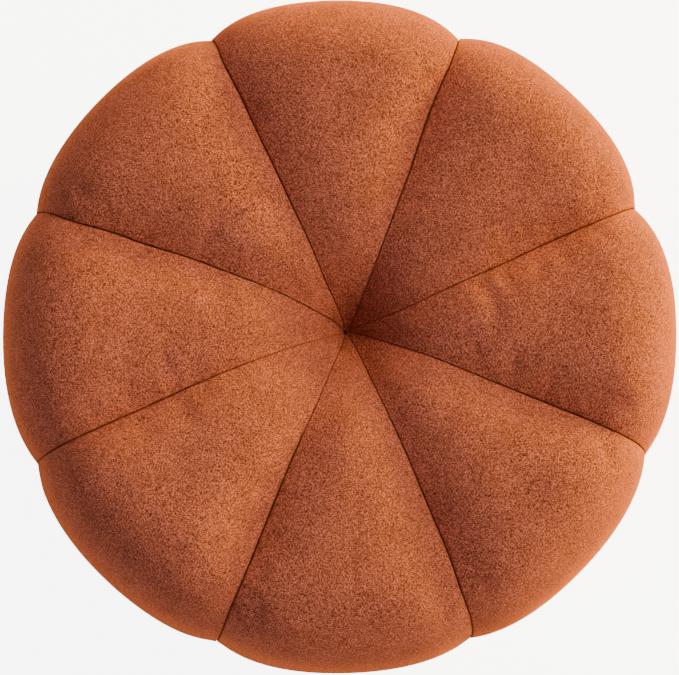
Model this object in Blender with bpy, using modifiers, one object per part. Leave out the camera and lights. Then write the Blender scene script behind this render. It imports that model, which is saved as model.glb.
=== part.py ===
"""A pumpkin-shaped upholstered pouf, eight lobes round a pinched centre.

A timber drum carries eight foam lobes and a velvet cover sewn from eight gores.
Metres, +Z up. The origin is on the floor, under the middle of the drum.
Each lobe is centred on a multiple of 45 degrees, and the seams lie between them.
"""

import math

import bmesh
import bpy
from mathutils import Matrix, Vector

# Overall form
LOBES = 8
OUTER_RADIUS = 0.300
HEIGHT = 0.400
CROWN_RADIUS = 0.208
WAIST_HEIGHT = 0.240
DIMPLE_DEPTH = 0.080
DIMPLE_ROUND = 1.3
DIMPLE_POWER = 6.0
SHOULDER_POWER = 3.0
SKIRT_POWER = 2.5
PINCH_SHIFT = Vector((0.0023, -0.0007, 0.0))
PINCH_RADIUS = 0.004

# Creases between the lobes
CROWN_CREASE = 0.019
WAIST_CREASE = 0.0105
CREASE_ROLL = 0.024

# Cover and foam
COVER_THICKNESS = 0.002
SEAT_FOAM = 0.058
BASE_LIP = 0.022
HEM_WIDTH = 0.032
CHANNEL_RADIUS = 0.0045

# Drum frame
DRUM_RADIUS = 0.200
TOP_BOARD = 0.012
BASE_BOARD = 0.015
SLEEVE_WALL = 0.0025
POSTS = 6
POST_SIDE = 0.030
POST_INSET = 0.035

# Underside
FEET = 4
FOOT_HEIGHT = 0.012
FOOT_TOP_RADIUS = 0.018
FOOT_BASE_RADIUS = 0.0155
FOOT_RECESS_RADIUS = 0.0075
FOOT_RECESS_DEPTH = 0.006
FOOT_INSET = 0.050
DUST_CLOTH = 0.0008
DUST_RADIUS = 0.190

# Screws: shank radius, head radius, head depth, length
POST_SCREW = (0.0022, 0.0045, 0.0030, 0.045)
FOOT_SCREW = (0.0020, 0.0040, 0.0022, 0.020)
SCREW_POINT = 0.004

# Tuft cord and its toggle
CORD_RADIUS = 0.0012
KNOT_RADIUS = 0.0024
TOGGLE_RADIUS = 0.006
TOGGLE_LENGTH = 0.060
TUFT_HOLE_RADIUS = 0.004

# Gap left between pieces that touch
CLEARANCE = 0.0003

# Fineness of the faceted shapes
HALF_COLUMNS = 4
DIMPLE_ROWS = 8
SHOULDER_ROWS = 7
SKIRT_ROWS = 7
DISC_SIDES = 64
SCREW_SIDES = 10
FOOT_SIDES = 24

# Heights, worked out from the floor up
DUST_BOTTOM = FOOT_HEIGHT + CLEARANCE
HEM_BOTTOM = DUST_BOTTOM + DUST_CLOTH + CLEARANCE
BASE_BOTTOM = HEM_BOTTOM + COVER_THICKNESS + CLEARANCE
BASE_TOP = BASE_BOTTOM + BASE_BOARD
FRAME_TOP = HEIGHT - DIMPLE_DEPTH - SEAT_FOAM
BOARD_UNDERSIDE = FRAME_TOP - TOP_BOARD

# Radii and angles, worked out from the drum out
HALF_LOBE = math.pi / LOBES
SEAM_SHIFT = 0.5 * CLEARANCE / math.sin(HALF_LOBE)
SLEEVE_RADIUS = DRUM_RADIUS + CLEARANCE + SLEEVE_WALL
WIDEST_STEP = HALF_LOBE / math.sqrt(HALF_COLUMNS)
FOAM_INNER = (SLEEVE_RADIUS + CLEARANCE) / math.cos(0.5 * WIDEST_STEP)
BASE_RADIUS = FOAM_INNER + BASE_LIP
HEM_RADIUS = FOAM_INNER - HEM_WIDTH
POST_CIRCLE = DRUM_RADIUS - POST_INSET
FOOT_CIRCLE = DRUM_RADIUS - FOOT_INSET

PARTS = "pumpkin_pouf"
CUTTERS = "pumpkin_pouf_cutters"


def clear_scene():
    for obj in list(bpy.data.objects):
        bpy.data.objects.remove(obj, do_unlink=True)
    for name in (PARTS, CUTTERS):
        collection = bpy.data.collections.new(name)
        bpy.context.scene.collection.children.link(collection)


def finish_material(name, colour, roughness, metallic=0.0):
    material = bpy.data.materials.new(name)
    material.use_nodes = True
    shader = material.node_tree.nodes["Principled BSDF"]
    shader.inputs["Base Color"].default_value = (*colour, 1.0)
    shader.inputs["Roughness"].default_value = roughness
    shader.inputs["Metallic"].default_value = metallic
    return material


def velvet(name):
    return finish_material(name, (0.42, 0.11, 0.045), 0.85)


def foam(name):
    return finish_material(name, (0.86, 0.80, 0.62), 0.95)


def plywood(name):
    return finish_material(name, (0.66, 0.49, 0.31), 0.70)


def timber(name):
    return finish_material(name, (0.72, 0.55, 0.36), 0.75)


def hardboard(name):
    return finish_material(name, (0.33, 0.20, 0.12), 0.80)


def dust_cloth(name):
    return finish_material(name, (0.02, 0.02, 0.022), 0.95)


def black_plastic(name):
    return finish_material(name, (0.025, 0.025, 0.027), 0.45)


def zinc_steel(name):
    return finish_material(name, (0.62, 0.60, 0.55), 0.35, 1.0)


def waxed_twine(name):
    return finish_material(name, (0.55, 0.43, 0.28), 0.80)


def add_piece(name, mesh, finish, location=(0.0, 0.0, 0.0), rotation=(0.0, 0.0, 0.0)):
    """A named sub-part with a material of its own, smooth where its faces nearly agree."""
    piece = bpy.data.objects.new(name, mesh)
    piece.location = location
    piece.rotation_euler = rotation
    mesh.materials.append(finish(name))
    mesh.shade_smooth()
    mesh.set_sharp_from_angle(angle=math.radians(35.0))
    bpy.data.collections[PARTS].objects.link(piece)
    return piece


def add_cutter(name, mesh, location=(0.0, 0.0, 0.0), rotation=(0.0, 0.0, 0.0)):
    cutter = bpy.data.objects.new(name, mesh)
    cutter.location = location
    cutter.rotation_euler = rotation
    cutter.hide_render = True
    cutter.display_type = "WIRE"
    bpy.data.collections[CUTTERS].objects.link(cutter)
    return cutter


def cut(piece, cutters):
    for cutter in cutters:
        boolean = piece.modifiers.new(cutter.name, "BOOLEAN")
        boolean.operation = "DIFFERENCE"
        boolean.solver = "EXACT"
        boolean.object = cutter


def mesh_from(bm, name):
    mesh = bpy.data.meshes.new(name)
    bm.to_mesh(mesh)
    bm.free()
    return mesh


def cylinder_mesh(name, radius, bottom, top, sides):
    bm = bmesh.new()
    bmesh.ops.create_cone(
        bm, cap_ends=True, segments=sides, radius1=radius, radius2=radius, depth=top - bottom
    )
    bmesh.ops.translate(bm, verts=bm.verts, vec=(0.0, 0.0, 0.5 * (top + bottom)))
    return mesh_from(bm, name)


def profile_mesh(name, points, closed=False):
    """A profile of (radius, height) points at +X, for a Screw modifier to turn."""
    bm = bmesh.new()
    verts = [bm.verts.new((radius, 0.0, height)) for radius, height in points]
    for first, second in zip(verts, verts[1:]):
        bm.edges.new((first, second))
    if closed:
        bm.edges.new((verts[-1], verts[0]))
    return mesh_from(bm, name)


def turn(piece, sides):
    screw = piece.modifiers.new("turned", "SCREW")
    screw.angle = 2.0 * math.pi
    screw.steps = sides
    screw.render_steps = sides
    screw.use_merge_vertices = True
    screw.merge_threshold = 0.00001
    return piece


def smooth_step(share):
    return share * share * (3.0 - 2.0 * share)


def super_arc(power, share):
    """A quarter of a superellipse of unit half-axes, from (0, 1) to (1, 0)."""
    angle = 0.5 * math.pi * share
    across = math.sin(angle) ** (2.0 / power)
    up = max(math.cos(angle), 0.0) ** (2.0 / power)
    return across, up


def lobe_stations():
    """(radius, height, crease depth) along the middle of a lobe, from the pinch to the hem."""
    stations = []
    for row in range(DIMPLE_ROWS):
        radius = PINCH_RADIUS + (CROWN_RADIUS - PINCH_RADIUS) * row / DIMPLE_ROWS
        inward = 1.0 - (radius / CROWN_RADIUS) ** DIMPLE_ROUND
        drop = DIMPLE_DEPTH * inward**DIMPLE_POWER
        crease = CROWN_CREASE * smooth_step(radius / CROWN_RADIUS)
        stations.append((radius, HEIGHT - drop, crease))
    for row in range(SHOULDER_ROWS):
        share = row / SHOULDER_ROWS
        across, up = super_arc(SHOULDER_POWER, share)
        radius = CROWN_RADIUS + (OUTER_RADIUS - CROWN_RADIUS) * across
        height = WAIST_HEIGHT + (HEIGHT - WAIST_HEIGHT) * up
        crease = CROWN_CREASE + (WAIST_CREASE - CROWN_CREASE) * smooth_step(share)
        stations.append((radius, height, crease))
    for row in range(SKIRT_ROWS + 1):
        share = row / SKIRT_ROWS
        down, out = super_arc(SKIRT_POWER, share)
        radius = BASE_RADIUS + (OUTER_RADIUS - BASE_RADIUS) * out
        height = WAIST_HEIGHT - (WAIST_HEIGHT - HEM_BOTTOM) * down
        stations.append((radius, height, WAIST_CREASE * (1.0 - smooth_step(share))))
    stations.append((FOAM_INNER, HEM_BOTTOM, 0.0))
    stations.append((HEM_RADIUS, HEM_BOTTOM, 0.0))
    return stations


def outward_normals(stations):
    """Unit normals of the mid-lobe outline, in its own (radius, height) plane."""
    normals = []
    last = len(stations) - 1
    for index in range(len(stations)):
        before, after = stations[max(index - 1, 0)], stations[min(index + 1, last)]
        tangent = Vector((after[0] - before[0], after[1] - before[1])).normalized()
        normals.append(Vector((-tangent.y, tangent.x)))
    return normals


def crease_share(radius, across):
    """How far down into the crease a point lies, 0 at mid-lobe and 1 at the seam."""
    roll = min(CREASE_ROLL / (radius * math.tan(HALF_LOBE)), 0.75)
    return abs(across) ** (1.0 - math.log(2.0) / math.log(1.0 - roll))


def place(radius, height, across, heading):
    """A point of the lobe that faces heading; across runs from -1 to 1, seam to seam."""
    angle = across * HALF_LOBE
    reach = radius - SEAM_SHIFT
    point = Vector((SEAM_SHIFT + reach * math.cos(angle), reach * math.sin(angle), height))
    pull = max(1.0 - radius / CROWN_RADIUS, 0.0) ** 2
    return Matrix.Rotation(heading, 3, "Z") @ point + PINCH_SHIFT * pull


def columns_across():
    """Columns from seam to seam, closer together towards the seams."""
    steps = range(HALF_COLUMNS, -HALF_COLUMNS - 1, -1)
    return [math.copysign(math.sqrt(abs(step) / HALF_COLUMNS), step) for step in steps]


def lobe_skin(stations, heading):
    """The open outer surface of one lobe, a grid of columns across by stations along."""
    columns = columns_across()
    normals = outward_normals(stations)
    bm = bmesh.new()
    bmesh.ops.create_grid(
        bm, x_segments=len(columns) - 1, y_segments=len(stations) - 1, size=1.0
    )
    bm.verts.ensure_lookup_table()
    for index, vert in enumerate(bm.verts):
        row, column = divmod(index, len(columns))
        radius, height, crease = stations[row]
        sink = crease * crease_share(radius, columns[column])
        radius -= normals[row].x * sink
        height -= normals[row].y * sink
        vert.co = place(radius, height, columns[column], heading)
    bm.normal_update()
    return bm


def cover_gore(name, heading):
    bm = lobe_skin(lobe_stations(), heading)
    gore = add_piece(name, mesh_from(bm, name), velvet)
    shell = gore.modifiers.new("cloth", "SOLIDIFY")
    shell.thickness = COVER_THICKNESS
    shell.offset = -1.0
    return gore


def foam_lining(stations, columns, heading):
    """Points of the foam's inner side, over the top board and then down the sleeve."""
    shelf = FRAME_TOP + CLEARANCE
    side_rows = len(stations) - 1 - DIMPLE_ROWS
    points = []
    for row in range(len(stations)):
        over = min(row / DIMPLE_ROWS, 1.0)
        down = max(row - DIMPLE_ROWS, 0) / side_rows
        radius = CHANNEL_RADIUS + (FOAM_INNER - CHANNEL_RADIUS) * over
        height = shelf + (BASE_TOP - shelf) * down
        points += [place(radius, height, across, heading) for across in columns]
    return points


def foam_lobe(name, heading):
    """A block that fills the space between the cover and the drum."""
    stations = lobe_stations()[:-1]
    lining = foam_lining(stations, columns_across(), heading)
    bm = lobe_skin(stations, heading)
    skin = list(bm.verts)
    number_at = {tuple(vert.co): number for number, vert in enumerate(skin)}
    inset = COVER_THICKNESS + CLEARANCE
    sunk = [vert.co - vert.normal * inset for vert in skin]
    block = bmesh.ops.extrude_face_region(bm, geom=list(bm.faces), use_keep_orig=True)
    copies = [item for item in block["geom"] if isinstance(item, bmesh.types.BMVert)]
    for vert in copies:
        vert.co = lining[number_at[tuple(vert.co)]]
    for vert, point in zip(skin, sunk):
        vert.co = point
    bmesh.ops.recalc_face_normals(bm, faces=bm.faces)
    return add_piece(name, mesh_from(bm, name), foam)


def ring(count, radius, start=0.0):
    """Places evenly round a circle, as (angle, x, y)."""
    for step in range(count):
        angle = start + 2.0 * math.pi * step / count
        yield angle, radius * math.cos(angle), radius * math.sin(angle)


def screw_profile(size):
    """A countersunk screw, its head's face at height 0 and its point below."""
    shank, head, head_depth, length = size
    return [
        (0.0, 0.0),
        (head, 0.0),
        (shank, -head_depth),
        (shank, SCREW_POINT - length),
        (0.0, -length),
    ]


def hole_profile(size):
    """The room that a screw needs, clear of it all round and open past its head."""
    shank, head, head_depth, length = size
    return [
        (0.0, CLEARANCE),
        (head + CLEARANCE, CLEARANCE),
        (head + CLEARANCE, 0.0),
        (shank + CLEARANCE, -head_depth),
        (shank + CLEARANCE, SCREW_POINT - length),
        (0.0, -length - CLEARANCE),
    ]


def add_screw(name, size, location, upward):
    """A screw, and the cutter for its hole, which is returned; upward ones are driven from below."""
    rotation = (math.pi if upward else 0.0, 0.0, 0.0)
    solid = profile_mesh(name, screw_profile(size))
    turn(add_piece(name, solid, zinc_steel, location, rotation), SCREW_SIDES)
    hole = profile_mesh(f"{name}_hole", hole_profile(size))
    return turn(add_cutter(f"{name}_hole", hole, location, rotation), SCREW_SIDES)


def add_frame():
    """Two boards held apart by posts, screwed together."""
    top = cylinder_mesh("top_board", DRUM_RADIUS, BOARD_UNDERSIDE, FRAME_TOP, DISC_SIDES)
    base = cylinder_mesh("base_board", DRUM_RADIUS, BASE_BOTTOM, BASE_TOP, DISC_SIDES)
    top_board = add_piece("top_board", top, plywood)
    base_board = add_piece("base_board", base, plywood)
    for number, (angle, x, y) in enumerate(ring(POSTS, POST_CIRCLE, HALF_LOBE), 1):
        add_post(number, angle, x, y, top_board, base_board)
    return top_board, base_board


def add_post(number, angle, x, y, top_board, base_board):
    bottom, top = BASE_TOP + CLEARANCE, BOARD_UNDERSIDE - CLEARANCE
    bm = bmesh.new()
    bmesh.ops.create_cube(bm, size=1.0)
    bmesh.ops.scale(bm, verts=bm.verts, vec=(POST_SIDE, POST_SIDE, top - bottom))
    name = f"frame_post_{number}"
    middle = (x, y, 0.5 * (top + bottom))
    post = add_piece(name, mesh_from(bm, name), timber, middle, (0.0, 0.0, angle))
    upper = add_screw(f"top_screw_{number}", POST_SCREW, (x, y, FRAME_TOP), False)
    lower = add_screw(f"base_screw_{number}", POST_SCREW, (x, y, BASE_BOTTOM), True)
    cut(post, [upper, lower])
    cut(top_board, [upper])
    cut(base_board, [lower])


def add_sleeve():
    """A thin sheet bent round both boards, which the side foam rests against."""
    bm = bmesh.new()
    bmesh.ops.create_cone(
        bm,
        cap_ends=False,
        segments=DISC_SIDES,
        radius1=SLEEVE_RADIUS,
        radius2=SLEEVE_RADIUS,
        depth=FRAME_TOP - BASE_BOTTOM,
    )
    middle = (0.0, 0.0, 0.5 * (FRAME_TOP + BASE_BOTTOM))
    sleeve = add_piece("drum_sleeve", mesh_from(bm, "drum_sleeve"), hardboard, middle)
    wall = sleeve.modifiers.new("wall", "SOLIDIFY")
    wall.thickness = SLEEVE_WALL
    wall.offset = -1.0


def foot_profile():
    """A glide with a rounded lower edge and a recess that hides the screw's head."""
    edge = 0.25 * FOOT_HEIGHT
    shelf = FOOT_RECESS_DEPTH
    bore = FOOT_SCREW[0] + CLEARANCE
    seat = FOOT_SCREW[1] + CLEARANCE
    return [
        (bore, FOOT_HEIGHT),
        (FOOT_TOP_RADIUS, FOOT_HEIGHT),
        (FOOT_TOP_RADIUS, edge),
        (FOOT_BASE_RADIUS, 0.0),
        (FOOT_RECESS_RADIUS, 0.0),
        (FOOT_RECESS_RADIUS, shelf),
        (seat, shelf),
        (bore, shelf + FOOT_SCREW[2] + CLEARANCE),
    ]


def add_underside(base_board):
    """Dust cloth over the hem, and glides screwed through it into the base board."""
    cloth_top = DUST_BOTTOM + DUST_CLOTH
    cloth = cylinder_mesh("dust_cover", DUST_RADIUS, DUST_BOTTOM, cloth_top, DISC_SIDES)
    dust_cover = add_piece("dust_cover", cloth, dust_cloth)
    for number, (_, x, y) in enumerate(ring(FEET, FOOT_CIRCLE, math.pi / FEET), 1):
        profile = profile_mesh(f"foot_{number}", foot_profile(), closed=True)
        turn(add_piece(f"foot_{number}", profile, black_plastic, (x, y, 0.0)), FOOT_SIDES)
        head = (x, y, FOOT_RECESS_DEPTH)
        hole = add_screw(f"foot_screw_{number}", FOOT_SCREW, head, True)
        cut(dust_cover, [hole])
        cut(base_board, [hole])


def add_tuft(top_board):
    """Twine that pulls the gores' points down, knotted under a dowel below the board."""
    dowel = BOARD_UNDERSIDE - CLEARANCE - TOGGLE_RADIUS
    knot_top = dowel - TOGGLE_RADIUS - CLEARANCE
    knot = [
        (0.0, knot_top),
        (CORD_RADIUS, knot_top),
        (KNOT_RADIUS, knot_top - 0.5 * KNOT_RADIUS),
        (KNOT_RADIUS, knot_top - 1.5 * KNOT_RADIUS),
        (0.0, knot_top - 2.0 * KNOT_RADIUS),
    ]
    pinch = HEIGHT - DIMPLE_DEPTH
    loop = [
        (0.0, pinch + KNOT_RADIUS),
        (0.5 * KNOT_RADIUS, pinch + KNOT_RADIUS),
        (KNOT_RADIUS, pinch),
        (CORD_RADIUS, pinch - KNOT_RADIUS),
    ]
    mesh = profile_mesh("tuft_cord", loop + knot[1:])
    turn(add_piece("tuft_cord", mesh, waxed_twine, PINCH_SHIFT), SCREW_SIDES)

    half = 0.5 * TOGGLE_LENGTH
    bar = cylinder_mesh("tuft_toggle", TOGGLE_RADIUS, -half, half, SCREW_SIDES * 2)
    under_pinch = PINCH_SHIFT + Vector((0.0, 0.0, dowel))
    toggle = add_piece("tuft_toggle", bar, timber, under_pinch, (0.0, 0.5 * math.pi, 0.0))
    bore = CORD_RADIUS + CLEARANCE
    through = cylinder_mesh("toggle_bore", bore, -half, half, SCREW_SIDES)
    cut(toggle, [add_cutter("toggle_bore", through, under_pinch)])

    deep = 2.0 * TOP_BOARD
    hole = cylinder_mesh("tuft_hole", TUFT_HOLE_RADIUS, -deep, deep, SCREW_SIDES * 2)
    board_middle = PINCH_SHIFT + Vector((0.0, 0.0, FRAME_TOP - 0.5 * TOP_BOARD))
    cut(top_board, [add_cutter("tuft_hole", hole, board_middle)])


def main():
    clear_scene()
    top_board, base_board = add_frame()
    add_sleeve()
    add_underside(base_board)
    add_tuft(top_board)
    for lobe in range(LOBES):
        heading = 2.0 * HALF_LOBE * lobe
        foam_lobe(f"foam_lobe_{lobe + 1}", heading)
        cover_gore(f"cover_gore_{lobe + 1}", heading)


main()
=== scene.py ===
"""A pumpkin-shaped pouf: velvet gores, foam lobes, a timber drum and its underside."""

import math

import bmesh
import bpy
from bpy.props import FloatProperty, FloatVectorProperty, PointerProperty
from mathutils import Matrix, Vector, noise


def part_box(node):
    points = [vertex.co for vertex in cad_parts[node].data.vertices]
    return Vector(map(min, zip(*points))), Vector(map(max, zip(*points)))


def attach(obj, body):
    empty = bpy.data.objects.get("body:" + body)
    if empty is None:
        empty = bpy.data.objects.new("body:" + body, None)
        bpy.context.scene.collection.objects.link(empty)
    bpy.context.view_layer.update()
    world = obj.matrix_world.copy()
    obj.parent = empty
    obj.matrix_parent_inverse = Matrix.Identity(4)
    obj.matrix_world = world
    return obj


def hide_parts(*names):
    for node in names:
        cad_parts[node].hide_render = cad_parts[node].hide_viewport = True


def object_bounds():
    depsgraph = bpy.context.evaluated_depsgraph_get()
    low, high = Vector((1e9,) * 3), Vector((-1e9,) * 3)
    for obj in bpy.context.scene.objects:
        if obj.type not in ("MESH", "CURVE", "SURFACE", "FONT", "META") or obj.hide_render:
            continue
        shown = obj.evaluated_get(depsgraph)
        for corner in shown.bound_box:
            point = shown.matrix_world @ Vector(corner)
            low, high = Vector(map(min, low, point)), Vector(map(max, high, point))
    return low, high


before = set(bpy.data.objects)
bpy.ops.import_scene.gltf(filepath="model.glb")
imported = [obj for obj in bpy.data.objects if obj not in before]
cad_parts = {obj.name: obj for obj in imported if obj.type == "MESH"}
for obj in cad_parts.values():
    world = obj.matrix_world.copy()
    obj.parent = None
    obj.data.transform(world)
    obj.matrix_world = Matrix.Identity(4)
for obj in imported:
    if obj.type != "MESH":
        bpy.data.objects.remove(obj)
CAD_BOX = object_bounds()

bl_info = {
    "name": "Pumpkin Pouf",
    "version": (1, 0, 0),
    "blender": (4, 5, 0),
    "location": "View3D > Sidebar > Pouf",
    "description": "Builds a velvet pouf with eight puffed lobes round a pinched centre",
    "category": "Add Mesh",
}

LOBES = 8
FULL_TURN = 2.0 * math.pi
HALF_LOBE = math.pi / LOBES
FEET = 4
POSTS = 6
MM = 0.001
WHITE = (1.0, 1.0, 1.0)

# The lobe's outline: how the dimple's slope falls off, how fast the creases deepen away from the
# pinch, and how square the shoulder and the lower side are.
DIMPLE_ROUND = 1.3
DIMPLE_POWER = 6
CREASE_RISE = 0.75
SHOULDER_POWER = 3.0
FLANK_POWER = 2.5
LUMP_DEPTH = 0.0011
PUCKER_DEPTH = 0.0007
PUCKER_REACH = 0.009

# The foam blocks: how far inside the cover and off the drum, and the radius of their points.
FOAM_INSET = 0.0045
FOAM_OFF_SLEEVE = 0.0015
FOAM_OFF_BOARD = 0.0004
FOAM_POINT = 0.0060

STAPLES = 44
STAPLE_SIZE = (0.0012, 0.0100, 0.0006)
STAPLE_MARGIN = 0.007

# The filling of a panel: a light, stretchy cloth under pressure, with its edges held.
SWELL_FRAMES = 15
SWELL_CLOTH = {
    "use_pressure": True,
    "uniform_pressure_force": 60.0,
    "mass": 0.01,
    "quality": 4,
    "shrink_min": -0.045,
    "tension_stiffness": 12.0,
    "compression_stiffness": 12.0,
    "bending_stiffness": 2.0,
}

# The stage: lamps, walls, and a camera almost straight above.
KEY_SIZE = (2.4, 2.4)
SIDE_SIZE = (3.0, 1.0)
LAMP_AIM = Vector((0.0, 0.0, 0.30))
KEY_TINT = (1.0, 0.98, 0.78)
SIDE_TINT = (1.0, 0.84, 0.0)
WALL_COOL = (1.0, 1.08, 1.34)
WALL_WARM = (1.0, 0.92, 0.22)
FLOOR_SHOWN = 6.3
LENS = 139.5
SENSOR = 36.0
VIEW_BACK = Vector((-0.0579, -0.1018, 0.9931))
VIEW_ROLL = math.radians(-0.9)
VIEW_REACH = 2.30
VIEW_HEIGHT = 0.330
VIEW_SHIFT = (0.0031, 0.0063)

# How far each seam wanders from its even place, in mm, counterclockwise seen from above, at the
# distances from the centre in DRIFT_AT. The cover is hand fitted, so no two seams agree, and
# the third and fourth run together just short of the pinch.
DRIFT_AT = (8.0, 50.0, 130.0, 205.0, 260.0)
SEAM_DRIFT = (
    (-1.0, -5.2, -5.2, -3.2, -3.2),
    (-2.8, -2.4, -1.7, 1.4, -0.2),
    (-1.6, 1.4, 3.5, 5.4, 7.8),
    (-4.0, -4.3, -2.7, 1.4, 5.2),
    (-0.5, -2.0, -3.0, -1.6, -1.2),
    (1.8, 0.9, -1.3, -1.4, -2.0),
    (1.8, 0.9, 2.0, 1.9, -0.6),
    (2.1, 1.2, 0.4, 1.0, 0.5),
)
# How much of its painted shade each seam's line keeps as it nears the pinch, set seam by seam for
# how the lamps fall across it.
SEAM_SHADE_AT_PINCH = (0.30, 0.80, 0.85, 1.00, 0.20, 0.70, 0.85, 0.80)
# How much deeper or shallower than the rest each seam is pulled in at the widest ring, in mm.
SEAM_PULL = (0.5, 1.6, 0.4, -1.8, -1.4, -2.6, -2.8, -3.0)


def top_of(node):
    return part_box(node)[1][2]


def bottom_of(node):
    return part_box(node)[0][2]


def length(label, words, default, **more):
    """A length property in metres, shown in the scene's units."""
    return FloatProperty(
        name=label, description=words, default=default, unit="LENGTH", precision=4, **more
    )


def colour(label, words, default):
    return FloatVectorProperty(
        name=label, description=words, default=default, size=3, subtype="COLOR", min=0.0, max=1.0
    )


class PoufForm(bpy.types.PropertyGroup):
    outer_radius: length("Outer radius", "Middle of the widest ring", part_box("cover_gore_1")[1][0])
    height: length("Height", "Floor to the crown ring", CAD_BOX[1][2])
    crown_radius: length("Crown radius", "Distance of the highest ring from the centre", 0.208)
    waist_height: length("Waist height", "Height of the widest ring", 0.240)
    dimple_depth: length("Dimple depth", "Crown to pinch", 0.080)
    hem_bottom: length("Hem height", "Underside of the turned-in cover", bottom_of("cover_gore_1"))
    base_radius: length("Base radius", "Where the lobes turn flat under the base", 0.226)
    hem_radius: length("Hem radius", "Inner edge of the turned-in cover", 0.173)
    pinch: FloatVectorProperty(
        name="Pinch", description="Place of the pinch in plan", default=(0.0023, -0.0007, 0.0),
        size=3, subtype="TRANSLATION", unit="LENGTH",
    )
    crown_crease: length("Crown crease", "Depth of the seams at the crown", 0.0195)
    waist_crease: length("Waist crease", "Depth of the seams at the widest ring", 0.0105)
    crease_roll: length("Crease roll", "Width over which a lobe rolls into its seam", 0.0240)
    tuck: length("Tuck", "Radius of the tight turn at the seam itself", 0.0017)
    flap: length("Seam allowance", "Cloth turned down inside the seam", 0.0070)
    cloth: length("Cloth", "Thickness of the velvet with its backing", 0.0014)
    gap: length("Gap", "Half the gap between two gores at their seam", 0.00008)
    swell: length("Swell", "How far the panels puff out when filled", 0.0060)


class PoufVelvet(bpy.types.PropertyGroup):
    pile: colour("Pile", "Colour of the pile where it catches the light", (1.0, 0.242, 0.146))
    shade: colour("Shade", "Colour between the tufts", (0.085, 0.020, 0.010))
    bloom: colour("Bloom", "Colour of the pile's edge light", (1.0, 0.17, 0.02))
    # Painted sheen: a lighter orange base colour mixed in where the pile is seen edge on.
    painted_edge_sheen: colour("Glow", "Colour of the pile seen edge on", (1.0, 0.205, 0.030))
    lean: length("Lean", "How far the pile is laid over towards the pinch", 0.030)
    tuft: length("Tuft size", "Size of the pile's finest speckle", 0.00042)


class PoufStage(bpy.types.PropertyGroup):
    key_turn: FloatProperty(
        name="Key turn", description="Direction of the high lamp in plan", subtype="ANGLE",
        default=math.radians(24.0),
    )
    side_turn: FloatProperty(
        name="Side turn", description="Direction of the low lamp in plan", subtype="ANGLE",
        default=math.radians(31.0),
    )
    reach: length("Reach", "Distance of both lamps", 5.0)
    key_power: FloatProperty(
        name="Key", description="Power of the high lamp in watts", default=295.0
    )
    key_rise: FloatProperty(
        name="Key rise", description="Height of the high lamp above the horizon", subtype="ANGLE",
        default=math.radians(40.0),
    )
    side_power: FloatProperty(
        name="Side", description="Power of the low lamp in watts", default=680.0
    )
    side_rise: FloatProperty(
        name="Side rise", description="Height of the low lamp above the horizon", subtype="ANGLE",
        default=math.radians(3.5),
    )
    wall: FloatProperty(name="Walls", description="Strength of light from the sides", default=1.85)
    ceiling: FloatProperty(name="Ceiling", description="Strength of light from above", default=0.15)
    floor: FloatProperty(name="Floor", description="Glow of the floor", default=0.65)


# ---------------------------------------------------------------- shader building


class Wire:
    """A shader socket whose arithmetic adds Math nodes to its tree."""

    def __init__(self, tree, socket):
        self.tree = tree
        self.socket = socket

    def math(self, operation, *values):
        node = self.tree.nodes.new("ShaderNodeMath")
        node.operation = operation
        for place, value in zip(node.inputs, values):
            if isinstance(value, Wire):
                self.tree.links.new(value.socket, place)
            else:
                place.default_value = value
        return Wire(self.tree, node.outputs[0])

    def __add__(self, other):
        return self.math("ADD", self, other)

    __radd__ = __add__

    def __sub__(self, other):
        return self.math("SUBTRACT", self, other)

    def __rsub__(self, other):
        return self.math("SUBTRACT", other, self)

    def __mul__(self, other):
        return self.math("MULTIPLY", self, other)

    __rmul__ = __mul__

    def __pow__(self, other):
        return self.math("POWER", self, other)

    def step(self, low, high):
        """0 below low, 1 above high, smooth between."""
        return Nodes(self.tree).add(
            "ShaderNodeMapRange", {"interpolation_type": "SMOOTHSTEP"},
            Value=self, From_Min=low, From_Max=high,
        )

    def wave(self):
        return self.math("SINE", self)


class Nodes:
    """A node tree, and the one way in which nodes are added to it."""

    def __init__(self, tree):
        self.tree = tree

    def add(self, kind, settings=None, output=0, **values):
        """A node of that kind, its settings first and then its sockets; returns one output."""
        node = self.tree.nodes.new(kind)
        for label, value in (settings or {}).items():
            setattr(node, label, value)
        self.settle(node, values)
        return Wire(self.tree, node.outputs[output])

    def settle(self, node, values):
        """Links or sets sockets, each found by its name or, where two share it, its identifier."""
        for label, value in values.items():
            socket = next(
                socket for socket in node.inputs
                if socket.enabled and label in (socket.name.replace(" ", "_"), socket.identifier)
            )
            if isinstance(value, Wire):
                self.tree.links.new(value.socket, socket)
            elif isinstance(value, tuple) and len(value) == 3 and socket.type == "RGBA":
                socket.default_value = (*value, 1.0)
            else:
                socket.default_value = value

    def axes(self, vector):
        """A vector's X, Y and Z as three wires."""
        first = self.add("ShaderNodeSeparateXYZ", Vector=vector)
        return [Wire(self.tree, output) for output in first.socket.node.outputs]

    def blend(self, factor, first, second):
        return self.add(
            "ShaderNodeMix", {"data_type": "RGBA"}, output=2, Factor=factor, A=first, B=second
        )


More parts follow.
